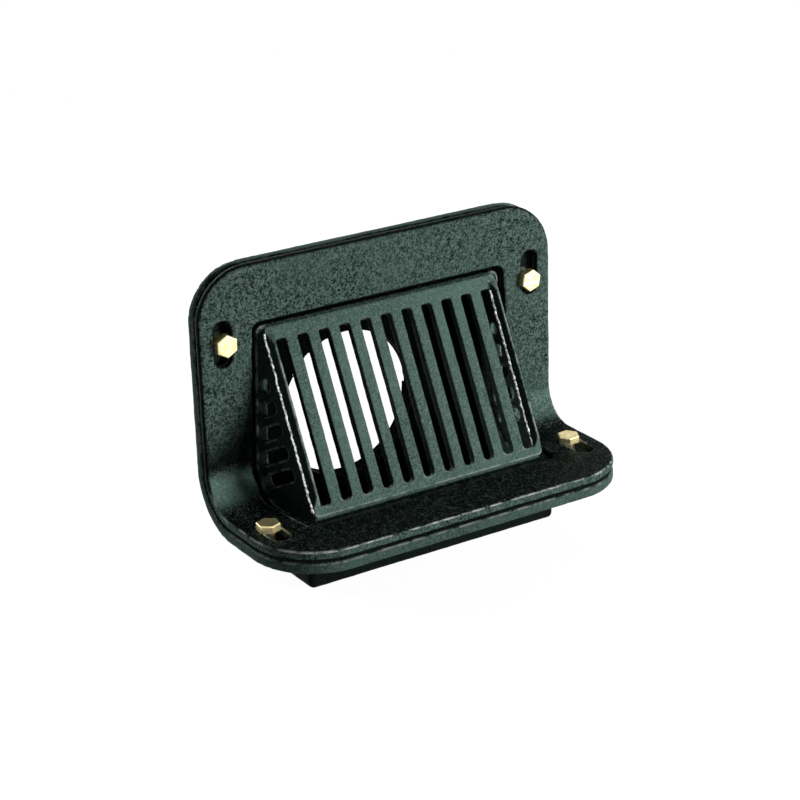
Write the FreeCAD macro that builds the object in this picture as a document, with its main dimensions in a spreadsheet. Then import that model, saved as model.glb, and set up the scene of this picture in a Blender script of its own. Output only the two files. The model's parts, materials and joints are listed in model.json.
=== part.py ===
import FreeCAD, Part
import math
import os
import Sketcher

# Parapet roof drain: a cast body with an L-shaped flange, a flashing clamp of the same outline,
# an oblique bar grate seated in the opening, and four hexagon bolts.
# The pieces are drawn about the roof corner: x = 0 is mid-width, y = 0 is the clamp's upright face
# with +Y into the wall, and z = 0 is the clamp's deck face. Each piece is then placed by one shift,
# so that the finished drain stands on its sump with the origin under the middle of its box.

SIZES = {
    # Outline shared by the body flange and the clamp
    "width": 280,
    "upright_height": 164,
    "deck_depth": 106.5,
    "upright_corner": 37.5,
    "deck_corner": 47,
    "bend_radius": 25,
    # Plates and the gap that takes the flashing sheet
    "clamp_thick": 6,
    "flashing_gap": 2.5,
    "flange_thick": 7.5,
    "seat_rim": 10,
    "edge_bevel": 1,
    # Oblique grate
    "grate_width": 185,
    "grate_foot": 59.1,
    "grate_slope": 26.6,
    "grate_draft": 6.2,
    "panel_low": 1.7,
    "panel_length": 131,
    "panel_corner": 4,
    "panel_thick": 6.5,
    "panel_bevel": 1,
    "lower_bar": 6.8,
    "upper_bar": 9.7,
    "side_bar": 6.925,
    "bar_width": 8.7,
    "bar_draft": 5,
    "bar_slot_round": 2.2,
    "bar_slots": 11,
    "cheek_thick": 5,
    "cheek_slot_start": 11.5,
    "cheek_slot_low": 33.5,
    "cheek_slot_pitch": 15.5,
    "cheek_slot_width": 8.4,
    "cheek_end_share": 0.45,
    "cheek_slots": 5,
    "ridge_rise": 4.6,
    "ridge_land": 1.6,
    "ridge_lean": 2.7,
    "ridge_toe": 0.5,
    "ridge_end": 4.5,
    "ridge_run_out": 8,
    "lip_width": 4,
    "lip_thick": 6.5,
    "lip_top": 119.3,
    "lip_toe": 2,
    "lip_corner": 5,
    "grate_clearance": 3.7,
    "opening_corner": 7,
    # Sump and outlet of the body
    "seat_width": 9,
    "wall_thick": 6,
    "sump_drop": 48.5,
    "sump_front": 60.5,
    "sump_round": 4,
    "side_bevel": 2.5,
    "hopper_inside": 48.8,
    "hopper_shoulder": 96,
    "outlet_height": 26.1,
    "outlet_bore": 110,
    "outlet_wall": 8,
    "outlet_reach": 65.6,
    # Bolts and the slots of the clamp
    "slot_inset": 17.3,
    "slot_play": 1.75,
    "slot_length": 32,
    "slot_height": 113,
    "slot_ahead": 55.5,
    "bolt_dia": 9.5,
    "bolt_tip": 4,
    "bolt_flats": 14.3,
    "bolt_head": 5.4,
    "head_bevel": 0.6,
    "tap_clearance": 0.1,
    # Each bolt's place in its slot, from -1 to 1 across the play and along the run, and its turn in degrees
    "upper_left_lean": 0.5,
    "upper_left_slide": 0,
    "upper_left_turn": 0,
    "upper_right_lean": -0.9,
    "upper_right_slide": -0.5,
    "upper_right_turn": -11,
    "lower_left_lean": -0.85,
    "lower_left_slide": 0.42,
    "lower_left_turn": -8,
    "lower_right_lean": -0.85,
    "lower_right_slide": 0.84,
    "lower_right_turn": -25,
}

doc = FreeCAD.newDocument("roof_drain")
sheet = doc.addObject("Spreadsheet::Sheet", "Sizes")
for row, (alias, size) in enumerate(SIZES.items(), start=1):
    sheet.set(f"A{row}", alias)
    sheet.set(f"B{row}", str(size))
    sheet.setAlias(f"B{row}", alias)
doc.recompute()


# Sizes that follow from the sheet, as expressions

HALF_WIDTH = "Sizes.width / 2"
FLANGE_FACE = "(Sizes.clamp_thick + Sizes.flashing_gap)"
FLANGE_BACK = f"({FLANGE_FACE} + Sizes.flange_thick)"
LIP_FACE = f"({FLANGE_FACE} - Sizes.lip_thick)"
LIP_FRONT = "(Sizes.grate_foot + Sizes.lip_toe)"
LIP_MARGIN = "Sizes.lip_width"
OPENING_MARGIN = "(Sizes.lip_width + Sizes.grate_clearance)"
OPENING_TOP = "(Sizes.lip_top + Sizes.grate_clearance)"
OPENING_FRONT = f"({LIP_FRONT} + Sizes.grate_clearance)"
SEAT_MARGIN = "(Sizes.lip_width - Sizes.seat_width)"
SEAT_TOP = "(Sizes.lip_top - Sizes.seat_width)"
SEAT_FRONT = f"({LIP_FRONT} - Sizes.seat_width)"
PANEL_TOP = "(Sizes.panel_low + Sizes.panel_length)"
DRAFT = "(cos(Sizes.grate_slope) * tan(Sizes.grate_draft))"
REACH = "(2 * Sizes.width)"
OUTSIDE = f"(3 * {REACH})"
SLOT_WIDTH = "(Sizes.bolt_dia + 2 * Sizes.slot_play)"
SLOT_RUN = f"((Sizes.slot_length - {SLOT_WIDTH}) / 2)"
SLOT_ACROSS = f"({HALF_WIDTH} - Sizes.slot_inset)"
BAR_PITCH = "((Sizes.grate_width - 2 * Sizes.side_bar + Sizes.bar_width) / Sizes.bar_slots)"

# Lengths that differ by less than this are taken as equal when edges are picked
CLOSE = 0.01


def number(expression):
    return float(sheet.evalExpression(expression))


# Half width of the tapering grate outline at a place ahead of the wall and above the deck
def grate_half(ahead, height, margin):
    behind_panel = f"(Sizes.grate_foot - {ahead} - {height} * tan(Sizes.grate_slope))"
    return f"Sizes.grate_width / 2 + {behind_panel} * {DRAFT} + {margin}"


HOPPER_HALF = f"({grate_half('0', '0', SEAT_MARGIN)} + Sizes.wall_thick)"


# Sketches and features

def new_body(name):
    return doc.addObject("PartDesign::Body", name)


def new_sketch(body, name, role, offset=None, slope_axis=None):
    sketch = body.newObject("Sketcher::SketchObject", name)
    plane = next(item for item in body.Origin.OriginFeatures if item.Role == role)
    sketch.AttachmentSupport = [(plane, "")]
    sketch.MapMode = "FlatFace"
    if slope_axis is not None:
        turn = FreeCAD.Rotation(slope_axis, number("Sizes.grate_slope"))
        sketch.AttachmentOffset = FreeCAD.Placement(FreeCAD.Vector(), turn)
        sketch.setExpression("AttachmentOffset.Rotation.Angle", "Sizes.grate_slope")
    for axis, expression in (offset or {}).items():
        sketch.setExpression(f"AttachmentOffset.Base.{axis}", expression)
    return sketch


# A sketch square to the slope at a distance up it: its Y axis runs back from the sloping face
def section_sketch(body, name, distance):
    offset = {
        "y": f"{distance} * sin(Sizes.grate_slope) - Sizes.grate_foot",
        "z": f"{distance} * cos(Sizes.grate_slope)",
    }
    return new_sketch(body, name, "XY_Plane", offset, FreeCAD.Vector(-1, 0, 0))


# A sketch seen from the side: its X axis runs back from the sloping face and its Y axis up the slope
def slope_sketch(body, name):
    return new_sketch(body, name, "YZ_Plane", {"x": "-Sizes.grate_foot"}, FreeCAD.Vector(0, 0, -1))


def bind(sketch, constraint, expression):
    index = sketch.addConstraint(constraint)
    sketch.setExpression(f"Constraints[{index}]", expression)


def pin(sketch, geometry, vertex, across, along):
    bind(sketch, Sketcher.Constraint("DistanceX", -1, 1, geometry, vertex, number(across)), across)
    bind(sketch, Sketcher.Constraint("DistanceY", -1, 1, geometry, vertex, number(along)), along)


# Closed outline through corners (across, along, radius), where radius None leaves a sharp corner
def outline(sketch, corners):
    count = len(corners)
    points = [FreeCAD.Vector(number(c[0]), number(c[1]), 0) for c in corners]
    starts, ends, arcs = [], [], []
    for i, (across, along, radius) in enumerate(corners):
        point = points[i]
        if radius is None:
            starts.append(point)
            ends.append(point)
            arcs.append(None)
            continue
        back = (points[i - 1] - point).normalize()
        ahead = (points[(i + 1) % count] - point).normalize()
        half_turn = back.getAngle(ahead) / 2
        size = number(radius)
        starts.append(point + back * (size / math.tan(half_turn)))
        ends.append(point + ahead * (size / math.tan(half_turn)))
        centre = point + (back + ahead).normalize() * (size / math.sin(half_turn))
        arcs.append(centre)
    first = sketch.GeometryCount
    for i in range(count):
        sketch.addGeometry(Part.LineSegment(ends[i], starts[(i + 1) % count]))
    for i, (across, along, radius) in enumerate(corners):
        before = first + (i - 1) % count
        after = first + i
        if radius is None:
            sketch.addConstraint(Sketcher.Constraint("Coincident", before, 2, after, 1))
            pin(sketch, after, 1, across, along)
            continue
        round_corner(sketch, arcs[i], starts[i], ends[i], before, after, radius)
        corner = sketch.addGeometry(Part.Point(points[i]), True)
        sketch.addConstraint(Sketcher.Constraint("PointOnObject", corner, 1, before))
        sketch.addConstraint(Sketcher.Constraint("PointOnObject", corner, 1, after))
        pin(sketch, corner, 1, across, along)


def round_corner(sketch, centre, start, end, before, after, radius):
    from_start = math.atan2(start.y - centre.y, start.x - centre.x)
    to_end = math.atan2(end.y - centre.y, end.x - centre.x)
    anticlockwise = (to_end - from_start) % (2 * math.pi) < math.pi
    low, high = (from_start, to_end) if anticlockwise else (to_end, from_start)
    near, far = (1, 2) if anticlockwise else (2, 1)
    circle = Part.Circle(centre, FreeCAD.Vector(0, 0, 1), number(radius))
    high = low + (high - low) % (2 * math.pi)
    arc = sketch.addGeometry(Part.ArcOfCircle(circle, low, high))
    sketch.addConstraint(Sketcher.Constraint("Tangent", before, 2, arc, near))
    sketch.addConstraint(Sketcher.Constraint("Tangent", arc, far, after, 1))
    bind(sketch, Sketcher.Constraint("Radius", arc, number(radius)), radius)


def circle(sketch, across, along, radius):
    centre = FreeCAD.Vector(number(across), number(along), 0)
    ring = sketch.addGeometry(Part.Circle(centre, FreeCAD.Vector(0, 0, 1), number(radius)))
    bind(sketch, Sketcher.Constraint("Radius", ring, number(radius)), radius)
    pin(sketch, ring, 3, across, along)


# Round-ended slot that runs along the sketch's Y axis
def slot(sketch, across, along, length, width):
    x, y = number(across), number(along)
    radius = number(width) / 2
    run = (number(length) - number(width)) / 2
    up = FreeCAD.Vector(0, 0, 1)
    upper = Part.Circle(FreeCAD.Vector(x, y + run, 0), up, radius)
    lower = Part.Circle(FreeCAD.Vector(x, y - run, 0), up, radius)
    top = sketch.addGeometry(Part.ArcOfCircle(upper, 0, math.pi))
    low = sketch.addGeometry(Part.ArcOfCircle(lower, math.pi, 2 * math.pi))
    left = sketch.addGeometry(
        Part.LineSegment(FreeCAD.Vector(x - radius, y + run, 0), FreeCAD.Vector(x - radius, y - run, 0))
    )
    right = sketch.addGeometry(
        Part.LineSegment(FreeCAD.Vector(x + radius, y - run, 0), FreeCAD.Vector(x + radius, y + run, 0))
    )
    for pair in ((top, 2, left, 1), (left, 2, low, 1), (low, 2, right, 1), (right, 2, top, 1)):
        sketch.addConstraint(Sketcher.Constraint("Tangent", *pair))
    sketch.addConstraint(Sketcher.Constraint("Equal", top, low))
    bind(sketch, Sketcher.Constraint("Radius", top, radius), f"{width} / 2")
    pin(sketch, top, 3, across, f"{along} + ({length} - {width}) / 2")
    pin(sketch, low, 3, across, f"{along} - ({length} - {width}) / 2")


# L-shaped strip between two depths behind the clamp's faces, drawn as seen along X
def l_strip(sketch, near, far, top, front):
    bend = "Sizes.bend_radius"
    outline(sketch, [
        (near, top, None),
        (near, f"-{near}", f"{bend} + {near}"),
        (f"-{front}", f"-{near}", None),
        (f"-{front}", f"-{far}", None),
        (far, f"-{far}", f"{bend} + {far}"),
        (far, top, None),
    ])


def pad(body, sketch, length, symmetric=False, reverse=False):
    feature = body.newObject("PartDesign::Pad", sketch.Name + "Pad")
    return set_extent(body, feature, sketch, length, symmetric, reverse)


def pocket(body, sketch, length, symmetric=False, reverse=False):
    feature = body.newObject("PartDesign::Pocket", sketch.Name + "Pocket")
    return set_extent(body, feature, sketch, length, symmetric, reverse)


def set_extent(body, feature, sketch, length, symmetric, reverse):
    feature.Profile = sketch
    feature.Type = "Length"
    if symmetric:
        feature.SideType = "Symmetric"
    feature.Reversed = reverse
    feature.setExpression("Length", length)
    body.Tip = feature
    doc.recompute()
    return feature


def pattern(body, feature, sketch, axis, pitch, count):
    rows = body.newObject("PartDesign::LinearPattern", feature.Name + "Row")
    rows.Originals = [feature]
    rows.Direction = (sketch, [axis])
    rows.setExpression("Length", f"{pitch} * ({count} - 1)")
    rows.setExpression("Occurrences", count)
    body.Tip = rows
    doc.recompute()
    return rows


def fillet(body, name, radius, chosen):
    dress(body, "PartDesign::Fillet", name, "Radius", radius, chosen)


def bevel(body, name, size, chosen):
    dress(body, "PartDesign::Chamfer", name, "Size", size, chosen)


def dress(body, kind, name, size_name, size, chosen):
    base = body.Tip
    edges = [f"Edge{i}" for i, edge in enumerate(base.Shape.Edges, start=1) if chosen(edge)]
    if not edges:
        raise ValueError(f"{name} found no edges")
    feature = body.newObject(kind, name)
    feature.Base = (base, edges)
    feature.setExpression(size_name, size)
    body.Tip = feature
    doc.recompute()


def near(value, target):
    return abs(value - target) < CLOSE


def flat_in(edge, axis, target):
    low = getattr(edge.BoundBox, axis + "Min")
    high = getattr(edge.BoundBox, axis + "Max")
    return near(low, target) and near(high, target)


# The opening through both legs of an L-shaped plate, widening towards the bend as the grate does
def cut_opening(body, name, margin, top, front, corner):
    upright = new_sketch(body, name + "Upright", "XZ_Plane")
    wide = grate_half("0", "0", margin)
    high = grate_half("0", top, margin)
    outline(upright, [
        (f"-({high})", top, corner),
        (f"-({wide})", "0", None),
        (wide, "0", None),
        (high, top, corner),
    ])
    pocket(body, upright, REACH, symmetric=True)
    deck = new_sketch(body, name + "Deck", "XY_Plane", {"z": "Sizes.bend_radius"})
    far = grate_half(front, "0", margin)
    outline(deck, [
        (f"-({wide})", FLANGE_BACK, None),
        (f"-({wide})", "0", None),
        (f"-({far})", f"-{front}", corner),
        (far, f"-{front}", corner),
        (wide, "0", None),
        (wide, FLANGE_BACK, None),
    ])
    pocket(body, deck, REACH)


# Rounded corners of an L-shaped plate's two legs
def round_plate_corners(body, name):
    half = number(HALF_WIDTH)
    top = number("Sizes.upright_height")
    front = -number("Sizes.deck_depth")

    def at_side(edge):
        return flat_in(edge, "X", half) or flat_in(edge, "X", -half)

    fillet(body, name + "Upright", "Sizes.upright_corner", lambda e: at_side(e) and flat_in(e, "Z", top))
    fillet(body, name + "Deck", "Sizes.deck_corner", lambda e: at_side(e) and flat_in(e, "Y", front))


# Bevelled outer rims of an L-shaped plate, front and back
def bevel_plate_edges(body, name, thickness):
    half = number(HALF_WIDTH)
    top = number("Sizes.upright_height")
    front = -number("Sizes.deck_depth")
    thick = number(thickness)
    corners = (number("Sizes.upright_corner"), number("Sizes.deck_corner"))

    def on_rim(edge):
        if near(edge.Length, thick):
            return False
        if edge.Curve.TypeId == "Part::GeomCircle" and any(near(edge.Curve.Radius, r) for r in corners):
            return not flat_in(edge, "X", half) and not flat_in(edge, "X", -half)
        return (flat_in(edge, "X", half) or flat_in(edge, "X", -half)
                or flat_in(edge, "Z", top) or flat_in(edge, "Y", front))

    bevel(body, name, "Sizes.edge_bevel", on_rim)


# Bolt places, as expressions in the plane of the leg that each bolt goes through
def bolt_place(name, side, along):
    across = f"{side} * {SLOT_ACROSS} + Sizes.{name}_lean * Sizes.slot_play"
    return across, f"{along} + Sizes.{name}_slide * {SLOT_RUN}"


BOLTS = {
    "upper_left": bolt_place("upper_left", "-1", "Sizes.slot_height"),
    "upper_right": bolt_place("upper_right", "1", "Sizes.slot_height"),
    "lower_left": bolt_place("lower_left", "-1", "-Sizes.slot_ahead"),
    "lower_right": bolt_place("lower_right", "1", "-Sizes.slot_ahead"),
}


# Flashing clamp: an L-shaped plate with the grate opening and four bolt slots

def make_clamp():
    body = new_body("flashing_clamp")
    profile = new_sketch(body, "ClampProfile", "YZ_Plane")
    l_strip(profile, "0", "Sizes.clamp_thick", "Sizes.upright_height", "Sizes.deck_depth")
    pad(body, profile, "Sizes.width", symmetric=True)
    round_plate_corners(body, "ClampCorner")
    bevel_plate_edges(body, "ClampRim", "Sizes.clamp_thick")
    cut_opening(body, "ClampOpening", OPENING_MARGIN, OPENING_TOP, OPENING_FRONT, "Sizes.opening_corner")
    uprights = new_sketch(body, "UprightSlots", "XZ_Plane")
    decks = new_sketch(body, "DeckSlots", "XY_Plane")
    for side in ("-1", "1"):
        across = f"{side} * {SLOT_ACROSS}"
        slot(uprights, across, "Sizes.slot_height", "Sizes.slot_length", SLOT_WIDTH)
        slot(decks, across, "-Sizes.slot_ahead", "Sizes.slot_length", SLOT_WIDTH)
    pocket(body, uprights, REACH, symmetric=True)
    pocket(body, decks, REACH, symmetric=True)
    return body


# Drain body: flange with a seat rim, sump, hopper and outlet boss in one casting

def make_drain_body():
    body = new_body("drain_body")
    rim = new_sketch(body, "SeatRim", "YZ_Plane")
    rim_top = f"({OPENING_TOP} + Sizes.seat_rim)"
    rim_front = f"({OPENING_FRONT} + Sizes.seat_rim)"
    l_strip(rim, "Sizes.clamp_thick", FLANGE_FACE, rim_top, rim_front)
    rim_half = f"({grate_half('0', '0', OPENING_MARGIN)} + Sizes.seat_rim)"
    pad(body, rim, f"2 * {rim_half}", symmetric=True)
    cut_opening(body, "RimOpening", OPENING_MARGIN, OPENING_TOP, OPENING_FRONT, "Sizes.opening_corner")
    flange = new_sketch(body, "Flange", "YZ_Plane")
    l_strip(flange, FLANGE_FACE, FLANGE_BACK, "Sizes.upright_height", "Sizes.deck_depth")
    pad(body, flange, "Sizes.width", symmetric=True)
    round_plate_corners(body, "FlangeCorner")
    bevel_plate_edges(body, "FlangeRim", "Sizes.flange_thick")
    cut_opening(body, "WaterWay", SEAT_MARGIN, SEAT_TOP, SEAT_FRONT, "Sizes.opening_corner")
    hopper = new_sketch(body, "Hopper", "YZ_Plane")
    hopper_outline(hopper, "0")
    pad(body, hopper, f"2 * {HOPPER_HALF}", symmetric=True)
    bevel_hopper(body)
    hollow = new_sketch(body, "HopperHollow", "YZ_Plane")
    hopper_outline(hollow, "Sizes.wall_thick")
    pocket(body, hollow, f"2 * ({HOPPER_HALF} - Sizes.wall_thick)", symmetric=True)
    boss = new_sketch(body, "OutletBoss", "XZ_Plane", {"z": "-Sizes.hopper_inside"})
    circle(boss, "0", "Sizes.outlet_height", "Sizes.outlet_bore / 2 + Sizes.outlet_wall")
    pad(body, boss, "Sizes.outlet_reach - Sizes.hopper_inside", reverse=True)
    bore = new_sketch(body, "OutletBore", "XZ_Plane", {"z": "-Sizes.outlet_reach"})
    circle(bore, "0", "Sizes.outlet_height", "Sizes.outlet_bore / 2")
    pocket(body, bore, "Sizes.outlet_reach - Sizes.hopper_inside", reverse=True)
    upright_taps = new_sketch(body, "UprightTaps", "XZ_Plane")
    deck_taps = new_sketch(body, "DeckTaps", "XY_Plane")
    for name, (across, along) in BOLTS.items():
        taps = upright_taps if name.startswith("upper") else deck_taps
        circle(taps, across, along, "Sizes.bolt_dia / 2 + Sizes.tap_clearance")
    pocket(body, upright_taps, REACH, symmetric=True)
    pocket(body, deck_taps, REACH, symmetric=True)
    return body


# Bevelled sides of the sump and hopper, where they do not meet the flange
def bevel_hopper(body):
    half = number(HOPPER_HALF)
    flange = number(FLANGE_BACK)
    bend = number("Sizes.bend_radius") + flange

    def on_side(edge):
        if not flat_in(edge, "X", half) and not flat_in(edge, "X", -half):
            return False
        if flat_in(edge, "Y", flange) or flat_in(edge, "Z", -flange):
            return False
        return edge.Curve.TypeId != "Part::GeomCircle" or not near(edge.Curve.Radius, bend)

    bevel(body, "HopperSide", "Sizes.side_bevel", on_side)


# Side view of the sump and hopper, inset by a wall's thickness for the hollow
def hopper_outline(sketch, inset):
    back = f"(Sizes.hopper_inside + Sizes.wall_thick - {inset})"
    floor = f"(Sizes.sump_drop - {inset})"
    front = f"(Sizes.sump_front - {inset})"
    top = f"({SEAT_TOP} + Sizes.wall_thick - {inset})"
    shoulder = f"(Sizes.hopper_shoulder - {inset})"
    outline(sketch, [
        (FLANGE_BACK, top, None),
        (FLANGE_BACK, f"-{FLANGE_BACK}", f"Sizes.bend_radius + {FLANGE_BACK}"),
        (f"-{front}", f"-{FLANGE_BACK}", None),
        (f"-{front}", f"-{floor}", "Sizes.sump_round"),
        (back, f"-{floor}", "Sizes.sump_round"),
        (back, shoulder, "Sizes.sump_round"),
    ])


# Oblique grate: a sloping panel of bars with tapering cheeks, fused to the lip that it sits on

def make_grate():
    shell = new_body("GrateShell")
    face = section_sketch(shell, "GrateFace", "Sizes.panel_low")
    drafted_outline(face, "Sizes.grate_width / 2", "0", REACH)
    pad(shell, face, "Sizes.panel_length")
    finish_panel(shell)
    raise_side_ridges(shell)
    behind = new_sketch(shell, "BehindSeat", "YZ_Plane")
    behind_seat(behind, FLANGE_FACE)
    pocket(shell, behind, REACH, symmetric=True)
    hollow_grate(shell, "Shell")
    cut_cheek_slots(shell)
    cut_bar_slots(shell)
    lip = new_body("GrateLip")
    block = section_sketch(lip, "LipBlock", f"-{REACH}")
    drafted_outline(block, f"Sizes.grate_width / 2 + {LIP_MARGIN}", "-Sizes.grate_foot", REACH)
    pad(lip, block, f"2 * {REACH}")
    strip = new_sketch(lip, "LipStrip", "YZ_Plane")
    outline(strip, [
        (f"-{OUTSIDE}", f"-{OUTSIDE}", None),
        (OUTSIDE, f"-{OUTSIDE}", None),
        (OUTSIDE, OUTSIDE, None),
        (f"-{OUTSIDE}", OUTSIDE, None),
    ])
    l_strip(strip, LIP_FACE, FLANGE_FACE, "Sizes.lip_top", LIP_FRONT)
    pocket(lip, strip, f"2 * {REACH}", symmetric=True)
    round_lip(lip)
    hollow_grate(lip, "Lip")
    grate = doc.addObject("Part::Fuse", "oblique_grate")
    grate.Base = shell
    grate.Tool = lip
    doc.recompute()
    return grate


# Rounded corners of the lip, at its toe and at its top
def round_lip(body):
    toe = -number(LIP_FRONT)
    top = number("Sizes.lip_top")
    thick = number("Sizes.lip_thick")

    def at_corner(edge):
        at_toe = flat_in(edge, "Y", toe) and near(edge.BoundBox.ZLength, thick)
        at_top = flat_in(edge, "Z", top) and near(edge.BoundBox.YLength, thick)
        return at_toe or at_top

    fillet(body, "LipCorner", "Sizes.lip_corner", at_corner)


# Section across the grate between two depths behind its face, widening backwards with the draft
def drafted_outline(sketch, half, shallow, deep):
    narrow = f"({half} + {shallow} * tan(Sizes.grate_draft))"
    wide = f"({half} + {deep} * tan(Sizes.grate_draft))"
    outline(sketch, [
        (f"-{narrow}", shallow, None),
        (narrow, shallow, None),
        (wide, deep, None),
        (f"-{wide}", deep, None),
    ])


# Depth of a point behind the grate's sloping face
def panel_depth(point):
    slope = math.radians(number("Sizes.grate_slope"))
    return (point.y + number("Sizes.grate_foot")) * math.cos(slope) - point.z * math.sin(slope)


def on_panel_face(edge):
    return all(near(panel_depth(vertex.Point), 0) for vertex in edge.Vertexes)


# Outline of the panel: its four corners are rounded, then its front edge is bevelled all round
def finish_panel(body):
    def runs_back(edge):
        depths = [panel_depth(vertex.Point) for vertex in edge.Vertexes]
        return near(min(depths), 0) and max(depths) > number("Sizes.width")

    fillet(body, "PanelCorner", "Sizes.panel_corner", runs_back)
    bevel(body, "PanelEdge", "Sizes.panel_bevel", on_panel_face)


# A ridge on each side bar: slopes from the panel's edge and from beside the first slot up to a narrow land
def raise_side_ridges(body):
    low = "(Sizes.panel_low + Sizes.ridge_end)"
    high = f"({PANEL_TOP} - Sizes.ridge_end)"
    sketch = section_sketch(body, "SideRidge", low)
    for side in ("-1", "1"):
        outer = f"{side} * (Sizes.grate_width / 2 + Sizes.panel_bevel * tan(Sizes.grate_draft))"
        land = f"{side} * (Sizes.grate_width / 2 - Sizes.ridge_lean)"
        inner = f"{side} * (Sizes.grate_width / 2 - Sizes.side_bar + Sizes.ridge_toe)"
        outline(sketch, [
            (outer, "Sizes.panel_bevel", None),
            (land, "-Sizes.ridge_rise", None),
            (f"{land} - {side} * Sizes.ridge_land", "-Sizes.ridge_rise", None),
            (inner, "0", None),
            (inner, "Sizes.panel_bevel", None),
        ])
    pad(body, sketch, f"{high} - {low}")
    ends = slope_sketch(body, "RidgeEnds")
    above = "-2 * Sizes.ridge_rise"
    for end, inward in ((low, "1"), (high, "-1")):
        run = f"{inward} * Sizes.ridge_run_out"
        outline(ends, [
            ("0", end, None),
            ("-Sizes.ridge_rise", f"{end} + {run}", None),
            (above, f"{end} + {run}", None),
            (above, f"{end} - {run}", None),
        ])
    pocket(body, ends, REACH, symmetric=True)


# Everything behind an L-shaped seat, as seen along X
def behind_seat(sketch, seat):
    outline(sketch, [
        (seat, REACH, None),
        (seat, f"-{seat}", f"Sizes.bend_radius + {seat}"),
        (f"-{REACH}", f"-{seat}", None),
        (f"-{REACH}", f"-{REACH}", None),
        (REACH, f"-{REACH}", None),
        (REACH, REACH, None),
    ])


# The way through behind the bars: one cut square to the slope, one straight down behind the toe
def hollow_grate(body, name):
    inner = "(Sizes.grate_width / 2 - Sizes.cheek_thick)"
    low = "(Sizes.panel_low + Sizes.lower_bar)"
    draw = section_sketch(body, name + "Hollow", low)
    drafted_outline(draw, inner, "Sizes.panel_thick", REACH)
    pocket(body, draw, "Sizes.panel_length - Sizes.lower_bar - Sizes.upper_bar", reverse=True)
    drop = f"({low} * cos(Sizes.grate_slope) - Sizes.panel_thick * sin(Sizes.grate_slope))"
    back = f"({low} * sin(Sizes.grate_slope) + Sizes.panel_thick * cos(Sizes.grate_slope))"
    toe = f"(Sizes.grate_foot - {back})"
    down = new_sketch(body, name + "Drop", "XY_Plane", {"z": drop})
    wide = grate_half("0", "0", "(-Sizes.cheek_thick)")
    far = grate_half(toe, "0", "(-Sizes.cheek_thick)")
    outline(down, [
        (f"-({wide})", FLANGE_BACK, None),
        (f"-({wide})", "0", None),
        (f"-({far})", f"-{toe}", None),
        (far, f"-{toe}", None),
        (wide, "0", None),
        (wide, FLANGE_BACK, None),
    ])
    pocket(body, down, REACH)


# Slots between the bars, widening backwards, with rounded ends
def cut_bar_slots(body):
    sketch = section_sketch(body, "BarSlot", "(Sizes.panel_low + Sizes.lower_bar)")
    middle = f"-{BAR_PITCH} * (Sizes.bar_slots - 1) / 2"
    half = f"({BAR_PITCH} - Sizes.bar_width) / 2"
    deep = "2 * Sizes.panel_thick"
    narrow = f"({half} - {deep} * tan(Sizes.bar_draft))"
    wide = f"({half} + {deep} * tan(Sizes.bar_draft))"
    outline(sketch, [
        (f"{middle} - {narrow}", f"-{deep}", None),
        (f"{middle} + {narrow}", f"-{deep}", None),
        (f"{middle} + {wide}", deep, None),
        (f"{middle} - {wide}", deep, None),
    ])
    cut = pocket(body, sketch, "Sizes.panel_length - Sizes.lower_bar - Sizes.upper_bar", reverse=True)
    pattern(body, cut, sketch, "H_Axis", BAR_PITCH, "Sizes.bar_slots")
    reach = number(f"{BAR_PITCH} * Sizes.bar_slots / 2")
    thick = number("Sizes.panel_thick")

    def at_slot_end(edge):
        depths = sorted(panel_depth(vertex.Point) for vertex in edge.Vertexes)
        through = near(depths[0], 0) and depths[-1] > thick / 2
        return through and abs(edge.Vertexes[0].X) < reach

    fillet(body, "BarSlotEnd", "Sizes.bar_slot_round", at_slot_end)


# Slots through both cheeks, square to the panel, from behind the bars to the lip
def cut_cheek_slots(body):
    sketch = slope_sketch(body, "CheekSlot")
    low = "Sizes.cheek_slot_low - Sizes.cheek_slot_width / 2"
    high = "Sizes.cheek_slot_low + Sizes.cheek_slot_width / 2"
    end_round = "Sizes.cheek_slot_width * Sizes.cheek_end_share"
    outline(sketch, [
        ("Sizes.cheek_slot_start", low, end_round),
        (REACH, low, None),
        (REACH, high, None),
        ("Sizes.cheek_slot_start", high, end_round),
    ])
    cut = pocket(body, sketch, REACH, symmetric=True)
    pattern(body, cut, sketch, "V_Axis", "Sizes.cheek_slot_pitch", "Sizes.cheek_slots")


# Hexagon bolt: drawn with its head's seat at the origin and its shank downwards

def make_bolt(name):
    body = new_body(name + "_bolt")
    head = new_sketch(body, name + "Head", "XY_Plane")
    corner = "Sizes.bolt_flats / 2 / cos(30)"
    turns = [f"(90 + 60 * {i} + Sizes.{name}_turn)" for i in range(6)]
    outline(head, [(f"{corner} * cos({turn})", f"{corner} * sin({turn})", None) for turn in turns])
    pad(body, head, "Sizes.bolt_head")
    top = number("Sizes.bolt_head")
    bevel(body, name + "HeadRim", "Sizes.head_bevel", lambda edge: flat_in(edge, "Z", top))
    shank = new_sketch(body, name + "Shank", "XY_Plane")
    circle(shank, "0", "0", "Sizes.bolt_dia / 2")
    pad(body, shank, f"{FLANGE_BACK} + Sizes.bolt_tip", reverse=True)
    return body


# Placing: every piece is shifted from the roof corner to the foot of the drain

SHIFT_Y = "(Sizes.deck_depth - Sizes.outlet_reach) / 2"
SHIFT_Z = "Sizes.sump_drop"


def place(piece, x="0", y="0", z="0"):
    piece.setExpression("Placement.Base.x", x)
    piece.setExpression("Placement.Base.y", f"{SHIFT_Y} + {y}")
    piece.setExpression("Placement.Base.z", f"{SHIFT_Z} + {z}")


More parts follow.
